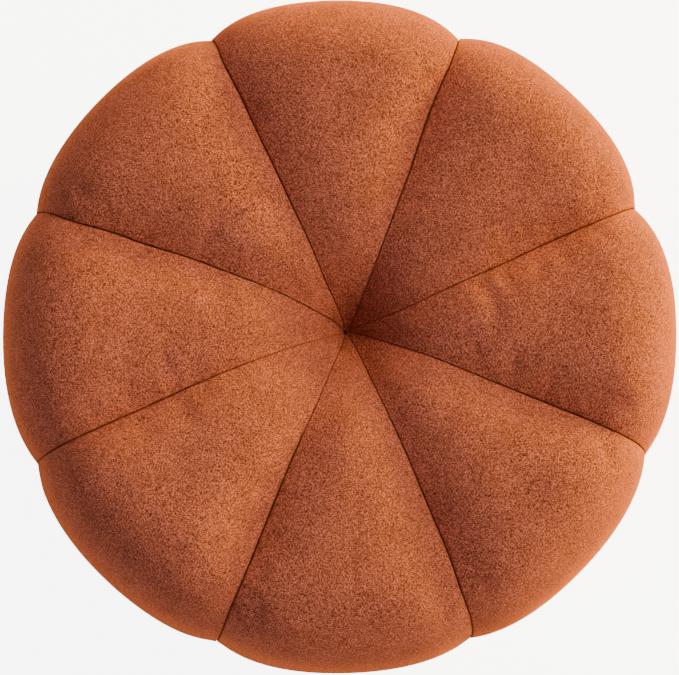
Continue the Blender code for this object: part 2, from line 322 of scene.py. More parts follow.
class Recipe(Nodes):
    """One material: a Principled shader and the nodes that feed it."""

    def __init__(self, name, **constants):
        self.material = bpy.data.materials.new(name)
        self.material.use_nodes = True
        super().__init__(self.material.node_tree)
        self.shader = self.tree.nodes["Principled BSDF"]
        self.settle(self.shader, constants)
        self.surface = Wire(self.tree, self.shader.outputs[0])
        self.place = self.add("ShaderNodeTexCoord", output="Object")

    def overlay(self, factor, **constants):
        """One more shader, which takes over where the factor rises to 1."""
        second = self.add("ShaderNodeBsdfPrincipled", **constants)
        self.surface = self.add(
            "ShaderNodeMixShader", Fac=factor, Shader=self.surface, Shader_001=second
        )
        self.settle(self.tree.nodes["Material Output"], {"Surface": self.surface})

    def noise(self, size, detail=2.0, rough=0.5, stretch=(1.0, 1.0, 1.0), offset=0.0):
        """Cloudy noise whose patches are about size metres across."""
        mapped = self.add(
            "ShaderNodeMapping", Vector=self.place, Scale=stretch, Location=(offset, offset, 0.0)
        )
        return self.add(
            "ShaderNodeTexNoise", Vector=mapped, Scale=1.0 / size, Detail=detail, Roughness=rough
        )

    def tint(self, shade, factor):
        """A colour darkened or lightened by a number that varies."""
        grey = self.add("ShaderNodeCombineColor", Red=factor, Green=factor, Blue=factor)
        return self.add(
            "ShaderNodeMix", {"data_type": "RGBA", "blend_type": "MULTIPLY"}, output=2,
            Factor=1.0, A=shade, B=grey,
        )

    def feed(self, label, wire):
        self.settle(self.shader, {label: wire})

    def raise_by(self, height, depth, strength=1.0):
        """Relief of a real depth in metres."""
        bump = self.add("ShaderNodeBump", Height=height, Distance=depth, Strength=strength)
        self.feed("Normal", bump)


def velvet_finish(look):
    """Short dense pile: tufts that catch the light each its own way, flattened and painted with
    shade in the seams.
    """
    dull = {"Roughness": 0.95, "Specular_IOR_Level": 0.06}
    furry = {"Sheen_Weight": 1.0, "Sheen_Roughness": 0.30, "Sheen_Tint": tuple(look.bloom)}
    recipe = Recipe("burnt_orange_velvet", **dull, **furry)
    cells = recipe.add(
        "ShaderNodeTexVoronoi", output="Color", Vector=recipe.place, Scale=1.0 / look.tuft
    )
    tuft = recipe.add("ShaderNodeSeparateColor", Color=cells)
    nap = recipe.noise(look.tuft * 1.3, detail=0.0, offset=0.31)
    brushed = recipe.noise(0.030, offset=0.77)
    drift = recipe.noise(0.110, offset=0.13)
    pile = recipe.blend(tuft.step(0.40, 0.76), tuple(look.shade), tuple(look.pile))
    wear = brushed.step(0.30, 0.70) * 0.14 + drift.step(0.30, 0.70) * 0.06 + 0.91
    recipe.feed("Base_Color", recipe.tint(pile, wear))

    # The pile lies over towards the pinch, so the whole seat is shaded as if it tipped inward.
    relief = 0.0006
    across, along, _ = recipe.axes(recipe.place)
    from_centre = (across * across + along * along) ** 0.5
    lean = from_centre.step(0.09, 0.31) * (look.lean / relief)
    recipe.raise_by(nap.step(0.35, 0.65) + lean, relief, 0.9)

    # Painted sheen: the pile seen edge on takes a lighter orange base colour.
    edge = recipe.add("ShaderNodeLayerWeight", output="Facing", Blend=0.5)
    recipe.overlay(edge.step(0.60, 0.97) * 0.25, Base_Color=tuple(look.painted_edge_sheen), **dull, **furry)
    # Seam mask: the tuck turns to the dark shade colour without sheen. This is partly flattened pile
    # and partly painted shade in the crease.
    seam_flat_pile_and_shade = recipe.add("ShaderNodeAttribute", {"attribute_name": "seam"}, output="Fac")
    bridged = recipe.noise(0.005, offset=0.59).step(0.40, 0.62)
    recipe.overlay(seam_flat_pile_and_shade * (0.90 - bridged * 0.35), Base_Color=tuple(look.shade), **dull)
    return recipe.material


def foam_finish():
    recipe = Recipe("upholstery_foam", Roughness=0.95, Specular_IOR_Level=0.2)
    cell = recipe.add("ShaderNodeTexVoronoi", Vector=recipe.place, Scale=700.0)
    age = recipe.noise(0.05, detail=3.0)
    cream = recipe.blend(age, (0.80, 0.70, 0.46), (0.88, 0.82, 0.62))
    recipe.feed("Base_Color", recipe.tint(cream, cell * 0.35 + 0.72))
    recipe.raise_by(cell, 0.0005, 0.6)
    return recipe.material


def plywood_finish():
    """Thin veneers with their grain crossed, dark and light at the edge."""
    recipe = Recipe("birch_plywood", Roughness=0.62, Specular_IOR_Level=0.35)
    _, _, up = recipe.axes(recipe.place)
    layer = (up * (FULL_TURN / 0.0030)).wave().step(-0.35, 0.35)
    figure = recipe.noise(0.020, detail=5.0, rough=0.6, stretch=(0.12, 1.0, 1.0))
    pores = recipe.noise(0.0012, detail=2.0, stretch=(0.05, 1.0, 1.0))
    face = recipe.blend(figure.step(0.3, 0.7), (0.66, 0.47, 0.27), (0.80, 0.62, 0.41))
    shade = pores.step(0.35, 0.6) * 0.15 + layer * 0.16 + 0.72
    recipe.feed("Base_Color", recipe.tint(face, shade))
    recipe.raise_by(pores + figure * 0.5, 0.0002, 0.4)
    return recipe.material


def timber_finish(name, stretch):
    recipe = Recipe(name, Roughness=0.7, Specular_IOR_Level=0.3)
    rings = recipe.noise(0.011, detail=4.0, rough=0.55, stretch=stretch)
    fibre = recipe.noise(0.0011, detail=2.0, stretch=stretch)
    band = (rings * 26.0).wave().step(-0.8, 0.9)
    wood = recipe.blend(band, (0.60, 0.38, 0.19), (0.80, 0.60, 0.37))
    recipe.feed("Base_Color", recipe.tint(wood, fibre.step(0.3, 0.65) * 0.2 + 0.8))
    recipe.raise_by(band * 0.4 + fibre, 0.0002, 0.5)
    return recipe.material


def hardboard_finish():
    recipe = Recipe("pressed_hardboard", Roughness=0.75, Specular_IOR_Level=0.3)
    fibre = recipe.noise(0.0022, detail=4.0, rough=0.7)
    blot = recipe.noise(0.035, detail=2.0)
    brown = recipe.blend(blot, (0.24, 0.125, 0.062), (0.36, 0.205, 0.11))
    recipe.feed("Base_Color", recipe.tint(brown, fibre.step(0.25, 0.75) * 0.45 + 0.7))
    recipe.raise_by(fibre, 0.0002, 0.4)
    return recipe.material


def dust_cloth_finish():
    """Spunbonded cloth: tiny bonded dimples in rows over random fibres."""
    recipe = Recipe("spunbond_cloth", Roughness=0.85, Specular_IOR_Level=0.3)
    across, along, _ = recipe.axes(recipe.place)
    pitch = FULL_TURN / 0.0024
    dimples = ((across * pitch).wave() * (along * pitch).wave()).step(0.15, 0.7)
    fibre = recipe.noise(0.0012, detail=3.0, rough=0.7)
    cloud = recipe.noise(0.018, detail=2.0)
    black = recipe.blend(cloud.step(0.3, 0.7), (0.017, 0.017, 0.019), (0.034, 0.034, 0.037))
    recipe.feed("Base_Color", recipe.tint(black, fibre * 0.7 + 0.65 - dimples * 0.25))
    recipe.raise_by(fibre * 0.5 - dimples, 0.0002, 0.6)
    return recipe.material


def glide_finish():
    recipe = Recipe("black_moulded_plastic", Specular_IOR_Level=0.5)
    spark = recipe.noise(0.0007, detail=2.0, rough=0.7)
    scuff = recipe.noise(0.006, detail=4.0, rough=0.7, stretch=(1.0, 0.25, 1.0))
    worn = scuff.step(0.52, 0.74)
    recipe.feed("Base_Color", recipe.blend(worn * 0.6, (0.016, 0.016, 0.018), (0.06, 0.06, 0.062)))
    recipe.feed("Roughness", spark * 0.12 + worn * 0.15 + 0.40)
    recipe.raise_by(spark, 0.0001, 0.5)
    return recipe.material


def zinc_finish():
    recipe = Recipe("zinc_plated_steel", Metallic=1.0)
    spangle = recipe.noise(0.0016, detail=3.0)
    recipe.feed("Base_Color", recipe.blend(spangle, (0.60, 0.59, 0.56), (0.78, 0.77, 0.72)))
    recipe.feed("Roughness", spangle * 0.25 + 0.22)
    return recipe.material


def twine_finish():
    recipe = Recipe("waxed_twine", Roughness=0.6, Specular_IOR_Level=0.4)
    fibre = recipe.noise(0.0006, detail=3.0, stretch=(1.0, 1.0, 0.2))
    dirt = recipe.noise(0.01, detail=2.0)
    flax = recipe.blend(dirt, (0.44, 0.33, 0.19), (0.62, 0.50, 0.32))
    recipe.feed("Base_Color", recipe.tint(flax, fibre * 0.6 + 0.6))
    recipe.raise_by(fibre, 0.0002, 0.5)
    return recipe.material


# ---------------------------------------------------------------- placing pieces


def mesh_of(bm, name):
    mesh = bpy.data.meshes.new(name)
    bm.to_mesh(mesh)
    bm.free()
    return mesh


def set_out(name, mesh, material, nodes):
    """A finished piece at the origin that stands for those CAD nodes."""
    piece = bpy.data.objects.new(name, mesh)
    bpy.context.scene.collection.objects.link(piece)
    mesh.materials.clear()
    mesh.materials.append(material)
    mesh.shade_smooth()
    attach(piece, "root")
    if nodes:
        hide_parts(*nodes)
    return piece


def repaint(nodes, material):
    for node in nodes:
        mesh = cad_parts[node].data
        mesh.materials.clear()
        mesh.materials.append(material)


def subdivide(piece, levels):
    smooth = piece.modifiers.new("fine", "SUBSURF")
    smooth.levels = levels
    smooth.render_levels = levels


def ring(count, radius, start=0.0):
    for step in range(count):
        angle = start + FULL_TURN * step / count
        yield angle, Vector((radius * math.cos(angle), radius * math.sin(angle), 0.0))


def smooth_step(share):
    share = min(max(share, 0.0), 1.0)
    return share * share * (3.0 - 2.0 * share)


# ---------------------------------------------------------------- the lobes' form


def super_arc(power, share):
    """A quarter of a superellipse of unit half-axes, from (0, 1) to (1, 0)."""
    angle = 0.5 * math.pi * share
    across = math.sin(angle) ** (2.0 / power)
    up = max(math.cos(angle), 0.0) ** (2.0 / power)
    return across, up


def lobe_outline(form, steps=60):
    """(radius, height, crease depth) down the middle of a lobe, from the pinch to the hem."""
    outline = []
    tip = 0.0004
    for step in range(steps):
        radius = tip + (form.crown_radius - tip) * step / steps
        share = radius / form.crown_radius
        drop = form.dimple_depth * (1.0 - share ** DIMPLE_ROUND) ** DIMPLE_POWER
        crease = form.crown_crease * smooth_step(share) ** CREASE_RISE
        outline.append((radius, form.height - drop, crease))
    for step in range(steps):
        share = step / steps
        across, up = super_arc(SHOULDER_POWER, share)
        radius = form.crown_radius + (form.outer_radius - form.crown_radius) * across
        height = form.waist_height + (form.height - form.waist_height) * up
        fall = (form.waist_crease - form.crown_crease) * smooth_step(share)
        outline.append((radius, height, form.crown_crease + fall))
    for step in range(steps + 1):
        share = step / steps
        down, out = super_arc(FLANK_POWER, share)
        radius = form.base_radius + (form.outer_radius - form.base_radius) * out
        height = form.waist_height - (form.waist_height - form.hem_bottom) * down
        outline.append((radius, height, form.waist_crease * (1.0 - smooth_step(share))))
    outline.append((form.hem_radius, form.hem_bottom, 0.0))
    return outline


def spaced(outline, rows):
    """The outline again at even distances, each row with its length from the pinch."""
    lengths = [0.0]
    for before, after in zip(outline, outline[1:]):
        lengths.append(lengths[-1] + math.hypot(after[0] - before[0], after[1] - before[1]))
    result, here = [], 0
    for row in range(rows):
        goal = lengths[-1] * row / (rows - 1)
        while here < len(lengths) - 2 and lengths[here + 1] < goal:
            here += 1
        share = (goal - lengths[here]) / (lengths[here + 1] - lengths[here])
        before, after = outline[here], outline[here + 1]
        row_of = tuple(a + (b - a) * share for a, b in zip(before, after))
        result.append((*row_of, goal))
    return result


def outward(rows):
    """Unit normals of the outline in its own (radius, height) plane."""
    normals = []
    for index in range(len(rows)):
        before, after = rows[max(index - 1, 0)], rows[min(index + 1, len(rows) - 1)]
        tangent = Vector((after[0] - before[0], after[1] - before[1])).normalized()
        normals.append(Vector((-tangent.y, tangent.x)))
    return normals


def seam_drift(seam, radius, below):
    """Angle by which a seam wanders at a radius; it settles where the cover turns under."""
    marks = (0.0, *DRIFT_AT, 300.0)
    last = SEAM_DRIFT[seam % LOBES][-1] * 0.5
    drifts = (0.0, *SEAM_DRIFT[seam % LOBES], last)
    reach = radius / MM
    if below:
        return last * MM / radius
    if reach < marks[1]:
        return drifts[1] / marks[1]
    index = max(step for step in range(1, len(marks) - 1) if marks[step] <= reach)
    share = smooth_step((reach - marks[index]) / (marks[index + 1] - marks[index]))
    return (drifts[index] + (drifts[index + 1] - drifts[index]) * share) / reach


def crease_share(form, half_width, across):
    """How far down into the crease a point lies, 0 at mid-lobe and 1 at the seam."""
    roll = min(form.crease_roll / half_width, 0.75)
    return abs(across) ** (1.0 - math.log(2.0) / math.log(1.0 - roll))


class Lobe:
    """One lobe of the cover: turns a row and a place across it into a point in space."""

    def __init__(self, form, number, rows):
        self.form = form
        self.number = number
        self.rows = spaced(lobe_outline(form), rows)
        self.normals = outward(self.rows)
        widest = max(range(rows), key=lambda index: self.rows[index][0])
        self.waist = self.rows[widest][3]
        self.turn = Matrix.Rotation(2.0 * HALF_LOBE * number, 3, "Z")

    def seam_beside(self, across):
        return (self.number if across > 0.0 else self.number - 1) % LOBES

    def half_width(self, row):
        return max(self.rows[row][0] * math.tan(HALF_LOBE), 0.0002)

    def point(self, row, across, sink=0.0):
        """across runs from 1 to -1, seam to seam; sink goes straight down into the lobe."""
        form = self.form
        radius, height, crease, along = self.rows[row]
        normal = self.normals[row]
        crease += SEAM_PULL[self.seam_beside(across)] * MM * crease_swing(form, radius, crease)
        depth = crease * crease_share(form, self.half_width(row), across) + sink
        depth -= self.unevenness(along, across, self.half_width(row))
        below = along > self.waist
        left = seam_drift(self.number, radius, below)
        right = seam_drift(self.number - 1, radius, below)
        angle = across * HALF_LOBE + left * (0.5 + 0.5 * across) + right * (0.5 - 0.5 * across)
        pull = max(1.0 - radius / form.crown_radius, 0.0) ** 2
        reach = max(radius - normal.x * depth - form.gap / math.sin(HALF_LOBE), 0.0002)
        spot = Vector((reach * math.cos(angle), reach * math.sin(angle), height))
        spot.x += form.gap / math.sin(HALF_LOBE)
        spot.z -= normal.y * depth
        return self.turn @ spot + Vector(form.pinch) * pull

    def unevenness(self, along, across, half_width):
        """Slight lumps of the filling, and small puckers where the seams are sewn."""
        calm = smooth_step(along / 0.05) * smooth_step((self.rows[-1][3] - along) / 0.08)
        lump = noise.noise(Vector((along * 14.0, across * 1.3, self.number * 7.3)))
        from_seam = (1.0 - abs(across)) * half_width
        pucker = noise.noise(Vector((along * 75.0, self.seam_beside(across) * 5.1, 3.7)))
        pucker *= math.exp(-from_seam / PUCKER_REACH)
        return calm * (LUMP_DEPTH * lump + PUCKER_DEPTH * pucker)


def crease_swing(form, radius, crease):
    """1 at the widest ring, fading to 0 at the crown and where the crease runs out."""
    outside = smooth_step((radius - form.crown_radius) / (form.outer_radius - form.crown_radius))
    return outside * min(crease / form.waist_crease, 1.0)


def columns(lobe, row, inner):
    """(across, sink) from seam to seam: allowance, tight tuck, open lobe, and back."""
    form, half_width = lobe.form, lobe.half_width(row)
    opened = 0.55 + 0.45 * smooth_step(lobe.rows[row][3] / 0.240)
    tuck = min(form.tuck * opened, 0.35 * half_width)
    flap = min(form.flap, half_width + 0.002)
    side = [(1.0, tuck + flap), (1.0, tuck + 0.5 * flap)]
    for step in range(5):
        turn = 0.5 * math.pi * step / 4
        across = 1.0 - tuck * (1.0 - math.cos(turn)) / half_width
        side.append((across, tuck * (1.0 - math.sin(turn))))
    edge = side[-1][0]
    for step in range(1, inner):
        side.append((edge * (1.0 - step / inner) ** 0.8, 0.0))
    return side + [(0.0, 0.0)] + [(-across, sink) for across, sink in reversed(side)]


def cover_skin(lobe, inner=12):
    """The outer face of one gore with its allowances, and for each point how free it is."""
    width = len(columns(lobe, 0, inner))
    last = lobe.rows[-1][3]
    bm = bmesh.new()
    bmesh.ops.create_grid(bm, x_segments=width - 1, y_segments=len(lobe.rows) - 1, size=1.0)
    bm.verts.ensure_lookup_table()
    # The seam layer is the mask for painted shade in the crease: 1 in the tuck and allowance, fading
    # towards the pinch by a share listed for each seam.
    seam = bm.verts.layers.float.new("seam")
    free = []
    for row, (_, _, _, along) in enumerate(lobe.rows):
        ends = smooth_step((along - 0.020) / 0.080) * smooth_step((last - along) / 0.075)
        places = columns(lobe, row, inner)
        turned = max(sink for _, sink in places[2:-2])
        for column, (across, sink) in enumerate(places):
            vert = bm.verts[row * width + column]
            vert.co = lobe.point(row, across, sink)
            closed = SEAM_SHADE_AT_PINCH[lobe.seam_beside(across)]
            shown = closed + (1.0 - closed) * smooth_step((along - 0.02) / 0.16)
            vert[seam] = min(2.0 * sink / turned, 1.0) * shown
            free.append(0.0 if sink > 0.0 else ends * (1.0 - abs(across) ** 3))
    bm.normal_update()
    return bm, free


def swell(name, bm, free, reach):
    """Fills the panel like a cushion: slack cloth, sewn edges, pressure up to its full form."""
    normals = [vert.normal.copy() for vert in bm.verts]
    slack = []
    for vert, normal, share in zip(bm.verts, normals, free):
        vert.co -= normal * reach * share
        slack.append(vert.co.copy())
    mesh = bpy.data.meshes.new(name)
    bm.to_mesh(mesh)
    panel = bpy.data.objects.new(name, mesh)
    scene = bpy.context.scene
    scene.collection.objects.link(panel)
    sewn = panel.vertex_groups.new(name="sewn")
    sewn.add([index for index, share in enumerate(free) if share < 0.05], 1.0, "REPLACE")
    cloth = panel.modifiers.new("swell", "CLOTH")
    cloth.settings.vertex_group_mass = "sewn"
    cloth.settings.effector_weights.gravity = 0.0
    for label, value in SWELL_CLOTH.items():
        setattr(cloth.settings, label, value)
    cloth.point_cache.frame_start = 1
    cloth.point_cache.frame_end = SWELL_FRAMES
    for moment in range(1, SWELL_FRAMES + 1):
        scene.frame_set(moment)
    settled = panel.evaluated_get(bpy.context.evaluated_depsgraph_get()).data
    low = 0.0
    for vert, point, normal, share in zip(bm.verts, slack, normals, free):
        limit = reach * share
        rise = min(max((settled.vertices[vert.index].co - point).dot(normal), 0.0), limit)
        low = max(low, limit - rise)
        vert.co = point + normal * rise
    print(f"{name}: swelled to within {low / MM:.1f} mm of its full form")
    bpy.data.objects.remove(panel, do_unlink=True)
    bpy.data.meshes.remove(mesh)
    scene.frame_set(1)


class POUF_OT_cover(bpy.types.Operator):
    """Eight velvet gores, filled under pressure, each rolled into its seams and turned under"""

    bl_idname = "pouf.cover"
    bl_label = "Velvet cover"

    def execute(self, context):
        form = context.scene.pouf_form
        velvet = velvet_finish(context.scene.pouf_velvet)
        for number in range(LOBES):
            name = f"velvet_gore_{number + 1}"
            bm, free = cover_skin(Lobe(form, number, 104))
            swell(name, bm, free, form.swell)
            node = f"cover_gore_{number + 1}"
            gore = set_out(name, mesh_of(bm, name), velvet, [node])
            backing = gore.modifiers.new("backing", "SOLIDIFY")
            backing.thickness = form.cloth
            backing.offset = -1.0
            subdivide(gore, 1)
        return {"FINISHED"}


class POUF_OT_foam(bpy.types.Operator):
    """Eight foam lobes between the cover and the drum"""

    bl_idname = "pouf.foam"
    bl_label = "Foam lobes"

    def execute(self, context):
        form = context.scene.pouf_form
        foam = foam_finish()
        for number in range(LOBES):
            name = f"foam_block_{number + 1}"
            block = foam_block(Lobe(form, number, 44))
            node = f"foam_lobe_{number + 1}"
            piece = set_out(name, mesh_of(block, name), foam, [node])
            piece.data.set_sharp_from_angle(angle=math.radians(50.0))
        return {"FINISHED"}


def foam_block(lobe):
    """The lobe's outer form, a little inside the cover, closed against the drum."""
    form = lobe.form
    across = [math.copysign(math.sqrt(abs(step) / 7), step) for step in range(7, -8, -1)]
    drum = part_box("drum_sleeve")[1][0] + FOAM_OFF_SLEEVE
    shelf = top_of("top_board") + FOAM_OFF_BOARD
    low = top_of("base_board")
    rows = [row for row in range(len(lobe.rows)) if lobe.rows[row][3] <= lobe.waist]
    rows += [row for row in range(len(rows), len(lobe.rows)) if lobe.rows[row][0] > drum]
    above = [row for row in rows if lobe.rows[row][3] <= lobe.waist]
    crown = min(above, key=lambda row: abs(lobe.rows[row][0] - form.crown_radius))
    bm = bmesh.new()
    width = len(across)
    bmesh.ops.create_grid(bm, x_segments=width - 1, y_segments=len(rows) - 1, size=1.0)
    skin = list(bm.verts)
    number_at = {tuple(vert.co): index for index, vert in enumerate(skin)}
    grown = bmesh.ops.extrude_face_region(bm, geom=list(bm.faces), use_keep_orig=True)
    copies = [item for item in grown["geom"] if isinstance(item, bmesh.types.BMVert)]
    tie = {vert: number_at[tuple(vert.co)] for vert in copies}
    for vert, index in tie.items():
        row, column = divmod(index, width)
        over = min(row / crown, 1.0)
        down = max(row - crown, 0) / (len(rows) - 1 - crown)
        angle = across[column] * HALF_LOBE * 0.998
        radius = FOAM_POINT + (drum - FOAM_POINT) * over
        spot = Vector((radius * math.cos(angle), radius * math.sin(angle), 0.0))
        pull = (1.0 - over) ** 2
        vert.co = lobe.turn @ spot + Vector(form.pinch) * pull
        vert.co.z = shelf + (low - shelf) * down
    for index, vert in enumerate(skin):
        row, column = divmod(index, width)
        keep = smooth_step(lobe.rows[rows[row]][3] / 0.02)
        sink = FOAM_INSET + 0.004 * (1.0 - keep)
        vert.co = lobe.point(rows[row], across[column] * 0.985, sink)
    bmesh.ops.recalc_face_normals(bm, faces=bm.faces)
    return bm


class POUF_OT_drum(bpy.types.Operator):
    """Boards, posts and sleeve of the drum inside, in their own materials"""

    bl_idname = "pouf.drum"
    bl_label = "Drum frame"

    def execute(self, context):
        repaint(["top_board", "base_board"], plywood_finish())
        posts = [f"frame_post_{number + 1}" for number in range(POSTS)]
        repaint(posts, timber_finish("sawn_softwood", (1.0, 1.0, 0.06)))
        repaint(["tuft_toggle"], timber_finish("dowel_wood", (0.06, 1.0, 1.0)))
        repaint(["drum_sleeve"], hardboard_finish())
        return {"FINISHED"}


def spin_profile(points, steps):
    """A surface turned about Z from (radius, height) points."""
    bm = bmesh.new()
    verts = [bm.verts.new((radius, 0.0, height)) for radius, height in points]
    edges = [bm.edges.new(pair) for pair in zip(verts, verts[1:])]
    bmesh.ops.spin(
        bm, geom=verts + edges, cent=(0.0, 0.0, 0.0), axis=(0.0, 0.0, 1.0),
        angle=FULL_TURN, steps=steps, use_merge=True,
    )
    bmesh.ops.remove_doubles(bm, verts=bm.verts, dist=0.000002)
    bmesh.ops.recalc_face_normals(bm, faces=bm.faces)
    return bm


def arc_points(centre, radius, first, last, steps):
    """Points of an arc in (radius, height), angles in degrees from +X."""
    for step in range(steps + 1):
        angle = math.radians(first + (last - first) * step / steps)
        yield centre[0] + radius * math.cos(angle), centre[1] + radius * math.sin(angle)


class POUF_OT_underside(bpy.types.Operator):
    """Dust cloth, its staples, and the glides that the pouf stands on"""

    bl_idname = "pouf.underside"
    bl_label = "Underside"

    def execute(self, context):
        self.dust_cloth()
        self.staples()
        self.glides()
        return {"FINISHED"}

    def dust_cloth(self):
        low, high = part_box("dust_cover")
        radius, middle = high[0], 0.5 * (low[2] + high[2])
        rings = 22
        bm = spin_profile([(radius * step / rings, middle) for step in range(rings + 1)], 144)
        for vert in bm.verts:
            out = math.hypot(vert.co.x, vert.co.y) / radius
            loose = smooth_step((out - 0.45) / 0.45) * (1.0 - smooth_step((out - 0.93) / 0.07))
            turn = math.atan2(vert.co.y, vert.co.x)
            pulls = noise.noise(Vector((math.cos(turn) * 9.0, math.sin(turn) * 9.0, out * 1.5)))
            sag = noise.noise(Vector((vert.co.x * 14.0, vert.co.y * 14.0, 0.4)))
            vert.co.z += 0.0009 * loose * pulls + 0.0006 * sag * (1.0 - out ** 6)
        bmesh.ops.recalc_face_normals(bm, faces=bm.faces)
        cloth = set_out(
            "dust_cloth", mesh_of(bm, "dust_cloth"), dust_cloth_finish(), ["dust_cover"],
        )
        wall = cloth.modifiers.new("wall", "SOLIDIFY")
        wall.thickness = 0.0005
        wall.offset = 0.0

    def staples(self):
        low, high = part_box("dust_cover")
        bm = bmesh.new()
        for angle, spot in ring(STAPLES, high[0] - STAPLE_MARGIN, 0.04):
            wire = bmesh.ops.create_cube(bm, size=1.0)["verts"]
            lean = 0.25 * noise.noise(Vector((angle * 3.0, 0.0, 9.0)))
            bmesh.ops.scale(bm, verts=wire, vec=STAPLE_SIZE)
            turn = Matrix.Rotation(angle + lean, 3, "Z")
            bmesh.ops.rotate(bm, verts=wire, cent=(0.0, 0.0, 0.0), matrix=turn)
            bmesh.ops.translate(bm, verts=wire, vec=(spot.x, spot.y, low[2] - 0.0001))
        piece = set_out("hem_staples", mesh_of(bm, "hem_staples"), zinc_finish(), [])
        edge = piece.modifiers.new("edge", "BEVEL")
        edge.width = 0.00022
        edge.segments = 2

    def glides(self):
        plastic = glide_finish()
        low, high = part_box("foot_1")
        top, wide = high[2], 0.5 * (high[0] - low[0])
        for number in range(FEET):
            low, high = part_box(f"foot_{number + 1}")
            centre = Vector((0.5 * (low[0] + high[0]), 0.5 * (low[1] + high[1]), 0.0))
            bm = spin_profile(self.glide_profile(wide, top), 72)
            bmesh.ops.translate(bm, verts=bm.verts, vec=centre)
            name = f"glide_{number + 1}"
            node = f"foot_{number + 1}"
            piece = set_out(name, mesh_of(bm, name), plastic, [node])
            piece.data.set_sharp_from_angle(angle=math.radians(40.0))

    @staticmethod
    def glide_profile(wide, top):
        """A flange, a rounded shoe and the recess round the screw's head."""
        points = [(0.0024, top)]
        points += arc_points((wide - 0.0008, top - 0.0008), 0.0008, 90.0, 0.0, 4)
        points += [(wide, top - 0.0028)]
        points += [(wide - 0.0012, top - 0.0034)]
        points += arc_points((wide - 0.0046, 0.0034), 0.0034, 0.0, -90.0, 8)
        points += arc_points((0.0083, 0.0008), 0.0008, -90.0, -180.0, 4)
        points += [(0.0075, 0.0056), (0.0071, 0.0060), (0.0045, 0.0060), (0.0024, 0.0085)]
        points += [(0.0024, top)]
        return points


def driven_screw(head, shank, length, pitch):
    """A countersunk cross-head screw, its head's face at height 0, its point below."""
    arm, slot, taper, depth = head * 0.62, head * 0.16, 0.72, head * 0.42
    bm = bmesh.new()
    bmesh.ops.create_grid(bm, x_segments=3, y_segments=3, size=arm)
    for vert in bm.verts:
        for axis in (0, 1):
            if abs(vert.co[axis]) < 0.5 * arm:
                vert.co[axis] = math.copysign(slot, vert.co[axis])
    arms = [face for face in bm.faces if min(map(abs, face.calc_center_median()[:2])) < slot * 0.5]
    rim = [edge for edge in bm.edges if edge.is_boundary]
    grown = bmesh.ops.extrude_edge_only(bm, edges=rim)["geom"]
    for vert in (item for item in grown if isinstance(item, bmesh.types.BMVert)):
        vert.co = Vector((vert.co.x, vert.co.y, 0.0)).normalized() * head * 0.96
    pressed = bmesh.ops.extrude_face_region(bm, geom=arms)["geom"]
    bmesh.ops.delete(bm, geom=arms, context="FACES_ONLY")
    for vert in (item for item in pressed if isinstance(item, bmesh.types.BMVert)):
        vert.co.x *= taper
        vert.co.y *= taper
        vert.co.z = -depth
    loop = [edge for edge in bm.edges if edge.is_boundary and edge.verts[0].co.length > head * 0.9]
    for radius, height in screw_rings(head, shank, length, pitch):
        grown = bmesh.ops.extrude_edge_only(bm, edges=loop)["geom"]
        loop = [item for item in grown if isinstance(item, bmesh.types.BMEdge)]
        for vert in {vert for edge in loop for vert in edge.verts}:
            vert.co.z = 0.0
            vert.co = vert.co.normalized() * radius
            vert.co.z = height
    bmesh.ops.contextual_create(bm, geom=loop)
    bmesh.ops.recalc_face_normals(bm, faces=bm.faces)
    return bm


def screw_rings(head, shank, length, pitch):
    """(radius, height) of each ring below the head's edge: cone, plain neck, thread, point."""
    yield head, -0.00015
    yield head, -0.0004
    yield shank, -head * 0.62
    turns = int((length * 0.62) / pitch)
    start = -(length - turns * pitch - 0.003)
    yield shank, start
    for turn in range(turns):
        crest = start - (turn + 0.5) * pitch
        yield shank * 0.74, crest + 0.20 * pitch
        yield shank, crest
        yield shank * 0.74, crest - 0.20 * pitch
    yield shank * 0.5, -(length - 0.0012)
    yield shank * 0.06, -length


class POUF_OT_screws(bpy.types.Operator):
    """Cross-head screws through the boards, and those that hold the glides"""

    bl_idname = "pouf.screws"
    bl_label = "Screws"

    def execute(self, context):
        steel = zinc_finish()
        for number in range(POSTS):
            self.drive(f"top_screw_{number + 1}", False, steel)
            self.drive(f"base_screw_{number + 1}", True, steel)
        for number in range(FEET):
            self.drive(f"foot_screw_{number + 1}", True, steel)
        return {"FINISHED"}

    @staticmethod
    def drive(node, upward, steel):
        low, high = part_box(node)
        head = 0.5 * (high[0] - low[0])
        bm = driven_screw(head * 0.99, head * 0.48, high[2] - low[2], 0.0018)
        if upward:
            turn = Matrix.Rotation(math.pi, 3, "X")
            bmesh.ops.rotate(bm, verts=bm.verts, cent=(0.0, 0.0, 0.0), matrix=turn)
        spin = Matrix.Rotation(low[0] * 90.0 + low[1] * 40.0, 3, "Z")
        bmesh.ops.rotate(bm, verts=bm.verts, cent=(0.0, 0.0, 0.0), matrix=spin)
        place = (0.5 * (low[0] + high[0]), 0.5 * (low[1] + high[1]), low[2] if upward else high[2])
        bmesh.ops.translate(bm, verts=bm.verts, vec=place)
        name = node.replace("_screw", "_driven_screw")
        piece = set_out(name, mesh_of(bm, name), steel, [node])
        piece.data.set_sharp_from_angle(angle=math.radians(35.0))


